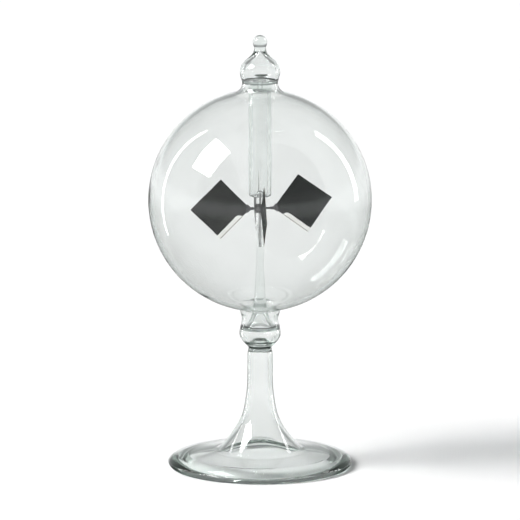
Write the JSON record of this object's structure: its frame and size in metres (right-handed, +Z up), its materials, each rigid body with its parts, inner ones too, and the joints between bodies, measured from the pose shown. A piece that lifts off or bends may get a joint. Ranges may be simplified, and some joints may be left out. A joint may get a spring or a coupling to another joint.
{
  "type": "radiometer",
  "caption": "Clear hand-blown glass bulb on a hollow trumpet foot; half-blackened mica vanes spin on a needle inside, under a guard tube and a drop-shaped sealed tip.",
  "frame": {"origin": "middle of the foot's flat underside, on the table", "axes": "+Z up along the needle's axis; the first arm rests 5.5 degrees round from +X towards +Y; the viewer in front looks along +Y"},
  "size_m": [0.08, 0.08, 0.157],
  "materials": {
    "clear_glass": "clear hand-blown glass, fire polished, faintly grey-green at the edges",
    "seal_glass": "fused glass seals and lampworked inner glass, a little thicker and darker",
    "mica": "split clear mica, faintly brown, with a sheen",
    "lampblack": "dead matte soot, slightly uneven at its edges",
    "needle_steel": "polished steel needle",
    "wire": "blued steel wire and clips",
    "collar_metal": "turned and blued steel, a little lighter than the wire"
  },
  "bodies": {
    "glasswork": {"bulb": "clear_glass", "top_seal": "seal_glass", "exhaust_tip": "clear_glass", "guard_tube": "seal_glass", "stem_flare": "seal_glass", "stem_rod": "seal_glass", "needle": "needle_steel", "knop": "clear_glass", "joint_bead": "seal_glass", "foot": "clear_glass"},
    "rotor": {"bearing_cup": "seal_glass", "hub_collar": "collar_metal", "arm_1": "wire", "arm_2": "wire", "arm_3": "wire", "arm_4": "wire", "vane_clip_1": "wire", "vane_clip_2": "wire", "vane_clip_3": "wire", "vane_clip_4": "wire", "mica_vane_1": "mica", "mica_vane_2": "mica", "mica_vane_3": "mica", "mica_vane_4": "mica", "lampblack_1": "lampblack", "lampblack_2": "lampblack", "lampblack_3": "lampblack", "lampblack_4": "lampblack"}
  },
  "joints": [
    {"name": "vane_spin", "type": "hinge", "parent": "glasswork", "child": "rotor", "pos_m": [0, 0, 0.1003], "axis": [0, 0, 1], "continuous": true}
  ]
}
